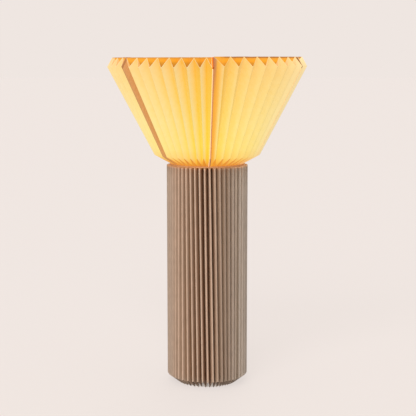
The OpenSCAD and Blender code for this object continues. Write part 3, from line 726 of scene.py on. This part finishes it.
# Painted light and shade on the kraft paper, matched to the photograph: turns are in degrees from the front
paintedKraftLight = {
    "crestLight": 0.3, "crestLit": 0.7, "crestLitTurns": (-75, -35, 3, 30),  # painted highlight on outer folds, palest at the front left
    "crestUnlit": 0.3, "crestUnlitTurns": (3, 26, 60, 110),                # and least on the right
    "dullTurns": (8, 20, 40, 52),                                  # walls with little shadow in their folds
    "foldShade": 0.3, "foldShadeDepths": (0.1, 0.6),                     # painted shade: how much darker they are by outer folds
    "even": 0.92, "evenFrom": 0.1,                                 # share of their painted inward shade lost
    "left": 0.15, "leftTurns": (-66, -50),                         # share of painted pale light at the lamp's left side
    "right": 0.7, "rightTurns": (26, 56),                          # at its right side
    "foot": 0.6, "footHeights": (6, 26),                           # and painted pale light from the floor, mm
}


def riseAndFall(turns, front):
    # 0 up to the first turn, 1 between the second and third, 0 from the fourth
    return smoothStep(*turns[:2], front) * (1 - smoothStep(*turns[2:], front))


def paintedFoldLight(points, depth):
    # All are painted light and shade and go by the turn from the front: worn = worn + rubbed - unworn, the
    # painted highlight on the outer folds; hollow = 1 - hollow on the dull walls near their outer folds,
    # painted shade;
    # bleached = the more of what the nearer side and the foot have, painted pale light
    front = degreesFromFront(points)
    pale = riseAndFall(paintedKraftLight["crestLitTurns"], front)
    crestUnlit = riseAndFall(paintedKraftLight["crestUnlitTurns"], front)
    dull = riseAndFall(paintedKraftLight["dullTurns"], front)
    atLeft = paintedKraftLight["left"] * (1 - smoothStep(*paintedKraftLight["leftTurns"], front))
    atRight = paintedKraftLight["right"] * smoothStep(*paintedKraftLight["rightTurns"], front)
    foot = paintedKraftLight["foot"] * (1 - smoothStep(*paintedKraftLight["footHeights"], points[:, :, 2]))
    return {
        "crestLight": paintedKraftLight["crestLight"] + paintedKraftLight["crestLit"] * pale - paintedKraftLight["crestUnlit"] * crestUnlit,
        "foldShade": 1 - paintedKraftLight["foldShade"] * dull * (1 - smoothStep(*paintedKraftLight["foldShadeDepths"], depth)),
        "paintedPale": np.maximum(atLeft + atRight, foot)}


columnEdge = column["cover"] + column["gap"] / 2 + column["glue"]
for group in range(column["groups"] + 1):
    first = 0 if group == 0 else column["firstCut"] + column["cut"] * (group - 1)
    last = columnLastFold if group == column["groups"] else column["firstCut"] + column["cut"] * group
    shifts = {0: columnEdge, columnLastFold: -columnEdge}
    folds = [(columnAngle(m), shifts.get(m, 0), 1 - m % 2, m in (first, last))
             for m in range(first, last + 1)]
    points, lean, depth = sheetPoints(
        folds, "column", columnLine, column["wallSteps"], column["rows"], columnTurn,
        group * slack["nextFan"])
    # Painted shade, darker inwards: darkness = depth, less even times what it is over evenFrom on the dull
    # walls; it is stored as the attribute depth
    dull = riseAndFall(paintedKraftLight["dullTurns"], degreesFromFront(points))
    darkness = depth[:, None] - paintedKraftLight["even"] * dull * np.maximum(depth[:, None] - paintedKraftLight["evenFrom"], 0)
    weights = {"lean": lean[:, None], "depth": darkness}
    weights.update(paintedFoldLight(points, depth[:, None]))
    parts = [{"points": points, "material": 0, "weights": weights}]
    piece = sheetPiece(f"columnPaper{group}", parts, column["paper"], [columnOutside, columnInside])
    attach(piece, "root" if group == 0 else f"column_fan_{group}")
    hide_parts(f"column_pleats_{group}")
    if group == 0:
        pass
    elif group == column["groups"]:
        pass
    else:
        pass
    foldTogether(piece)
print("column sheets made")


# The pieces from the frame

# The pale floor shines on the two foot pieces, which the shadow inside the folds would make grey
floorLit = {"Emission Color": linearColour("#EFE6E1"), "Emission Strength": 0.25}

# Nitrile rubber, moulded: pale grey-cream and dead matt
rubber = plainFinish("nitrileRubberMoulded", "#DAD3C8", "#D0C9BE", {"Roughness": 0.75, **floorLit}, 1.5)[0]
# Steel, powder coated: even cream or near black, satin, with a faint orange peel
footSteel = plainFinish(
    "powderCoatedSteelCream", "#F0E8DD", "#E9E0D4", {"Roughness": 0.5, **floorLit}, 1.0)[0]
blackMetal = plainFinish("powderCoatedSteel", "#2F3031", "#252627", {"Roughness": 0.55}, 0.8)[0]
# Aluminium: the tubes are brushed along their length, and the plug shows the rings of the lathe
tubeMetal = plainFinish(
    "aluminiumTubeBrushed", "#C9CACC", "#B4B6B8", {"Metallic": 1.0, "Roughness": 0.32}, 0.6, 0.02)[0]
plugMetal = plainFinish(
    "aluminiumTurned", "#8E9093", "#7B7D80", {"Metallic": 1.0, "Roughness": 0.3}, 0.6, 8.0)[0]
# Steel, zinc plated or galvanised: bright silver, and duller with wide soft patches
screwSteel = plainFinish("zincPlatedSteel", "#C4C6C7", "#A9ACAE", {"Metallic": 1.0, "Roughness": 0.35}, 2)[0]
keeperSteel = plainFinish("galvanisedSteel", "#B3B5B6", "#94979A", {"Metallic": 1.0, "Roughness": 0.4}, 7)[0]
# ABS, moulded: warm white with a soft sheen
caseWhite = plainFinish("absMoulded", "#F1ECE0", "#EBE5D7", {"Roughness": 0.5}, 0.9)[0]
# Silicone rubber, moulded: grey, softer in its shine than the case
buttonGrey = plainFinish("siliconeRubberMoulded", "#CFCBC2", "#C2BEB4", {"Roughness": 0.65}, 1.0)[0]
# Neodymium, nickel plated: a warm, nearly mirror-like silver
nickel = plainFinish("nickelPlatedMagnet", "#C8C4BC", "#B7B3AB", {"Metallic": 1.0, "Roughness": 0.22}, 3)[0]
# PVC film, shrunk on: glossy blue
cellWrap = plainFinish("pvcShrinkWrap", "#3E7F9E", "#356F8C", {"Roughness": 0.35}, 5)[0]
# Polycarbonate, moulded: black, half gloss
holderBlack = plainFinish("polycarbonateMoulded", "#232426", "#1B1C1D", {"Roughness": 0.45}, 1.2)[0]
# Glass-fibre board under solder mask: smooth glossy green, or white by the light
circuitGreen = plainFinish("solderMaskGreen", "#2C6B45", "#235A39", {"Roughness": 0.3}, 2)[0]
ledBoardWhite = plainFinish("solderMaskWhite", "#ECEAE2", "#E2DFD6", {"Roughness": 0.35}, 2)[0]
# Acrylic, polished: clear with a green tinge
pipeClear = plainFinish("acrylicClear", "#E4F4E4", "#D8EED8", {
    "Roughness": 0.1, "Transmission Weight": 0.6, "IOR": 1.49}, 1)[0]


def lightSource(name, colourHex, darkHex, grain, strength):
    # Something that shines: its own colour and the same light given off
    material, tree, shader = plainFinish(name, colourHex, darkHex, {"Roughness": 0.4}, grain)
    shader.inputs["Emission Color"].default_value = linearColour(colourHex)
    shader.inputs["Emission Strength"].default_value = strength
    return material


# Phosphor gel over the chips: deep yellow, and the brightest thing in the lamp
ledPhosphor = lightSource("ledPhosphor", "#FFD36A", "#F6C455", 0.6, 2.0)
# Opal polycarbonate, moulded: milky, and evenly bright all over
domeOpal = lightSource("opalPolycarbonate", "#FFE3AC", "#FFDEA0", 6, 0.9)

finishes = {
    "foot_pad": rubber, "foot_plate": footSteel, "base_flange": blackMetal, "neck_flange": blackMetal,
    "base_screws": screwSteel, "neck_screws": screwSteel, "light_screws": screwSteel,
    "stem_lower": tubeMetal, "stem_upper": tubeMetal, "stem_plug": plugMetal, "keeper_ring": keeperSteel,
    "neck_plate": neckBoardSkin, "light_case": caseWhite, "light_lid": caseWhite, "light_magnets": nickel,
    "battery_holder": holderBlack, "battery_cells": cellWrap, "control_board": circuitGreen,
    "charge_socket": screwSteel, "led_board": ledBoardWhite, "led_chips": ledPhosphor, "light_dome": domeOpal,
    "light_pipe": pipeClear, "power_button": buttonGrey, "button_spring": screwSteel,
    "column_cover_fixed": columnBoardSkin, "column_cover_free": columnBoardSkin,
    "column_magnets_fixed": nickel, "column_magnets_free": nickel,
    "shade_cover_fixed": fixedCoverSkin, "shade_cover_free": freeCoverSkin, "shade_board_1": rightBoardSkin,
    "shade_magnets_fixed": nickel, "shade_magnets_free": nickel,
}
for number in range(2, 6):
    finishes[f"shade_board_{number}"] = shadeBoardSkin
for nodeName, material in finishes.items():
    dress(nodeName, material)
print("frame pieces dressed")


# Floor, light and camera

stage = {
    "pale": "#EFE6E1",       # the backdrop, and what the floor shows of it
    "floorBase": "#7B7572",  # what takes the shadows
    "floorGlow": 0.772,
    "floorSize": 80.0,       # m
    "sky": 0.57,
    "sunAngle": 50,          # degrees across, for soft shadows
    "sun": 2.25, "sunTilt": 62, "sunTurn": -16,           # from the front, a little left, above
    "backSun": 0.8, "backSunTilt": 58, "backSunTurn": 172,  # from behind
}
view = {"lens": 95.08, "sensor": 36, "place": (0.0019, -2.65, 0.793), "down": 7.815}  # mm, mm, m, degrees


def seenRays(tree):
    # 1 for rays from the camera, straight or by a glossy or clear surface, and 0 for those that carry light
    path = addNode(tree, "LightPath").outputs
    seen = addNode(tree, "Math", {
        0: path["Is Camera Ray"], 1: path["Is Glossy Ray"]}, operation="MAXIMUM").outputs[0]
    return addNode(tree, "Math", {0: seen, 1: path["Is Transmission Ray"]}, operation="MAXIMUM").outputs[0]


floorMesh = bpy.data.meshes.new("floor")
half = stage["floorSize"] / 2
floorMesh.from_pydata(
    [(-half, -half, 0), (half, -half, 0), (half, half, 0), (-half, half, 0)], [], [(0, 1, 2, 3)])
floor = bpy.data.objects.new("floor", floorMesh)
bpy.context.scene.collection.objects.link(floor)
floorPaint, tree, shader = startMaterial("palePaintedFloor")
# Its glow is only seen: what lights the lamp from below is what the floor reflects
glow = addNode(tree, "Mix", {
    0: seenRays(tree), 6: [0, 0, 0, 1], 7: linearColour(stage["pale"])}, data_type="RGBA").outputs[2]
finishShader(tree, shader, {
    "Roughness": 1.0, "Specular IOR Level": 0.0, "Base Color": linearColour(stage["floorBase"]),
    "Emission Strength": stage["floorGlow"],
}, {"Emission Color": glow})
floorMesh.materials.append(floorPaint)

world = bpy.data.worlds.new("studio")
bpy.context.scene.world = world
world.use_nodes = True
tree = world.node_tree
tree.nodes.clear()
lighting = addNode(tree, "Background", {
    "Color": linearColour("#FFFFFF"), "Strength": stage["sky"]}).outputs[0]
backdrop = addNode(tree, "Background", {"Color": linearColour(stage["pale"]), "Strength": 1.0}).outputs[0]
mixed = addNode(tree, "MixShader", {0: seenRays(tree), 1: lighting, 2: backdrop}).outputs[0]
addNode(tree, "OutputWorld", {"Surface": mixed})


def sunLight(name, energy, tilt, turn):
    # Tilted off straight down, then turned about the vertical, in degrees
    data = bpy.data.lights.new(name, "SUN")
    data.energy = energy
    data.angle = math.radians(stage["sunAngle"])
    light = bpy.data.objects.new(name, data)
    light.rotation_euler = (math.radians(tilt), 0, math.radians(turn))
    bpy.context.scene.collection.objects.link(light)


sunLight("keyLight", stage["sun"], stage["sunTilt"], stage["sunTurn"])
sunLight("backLight", stage["backSun"], stage["backSunTilt"], stage["backSunTurn"])

cameraData = bpy.data.cameras.new("camera")
cameraData.lens = view["lens"]
cameraData.sensor_width = view["sensor"]
camera = bpy.data.objects.new("camera", cameraData)
camera.location = view["place"]
camera.rotation_euler = (math.radians(90 - view["down"]), 0, 0)
bpy.context.scene.collection.objects.link(camera)
bpy.context.scene.camera = camera
bpy.context.scene.view_settings.view_transform = "Standard"
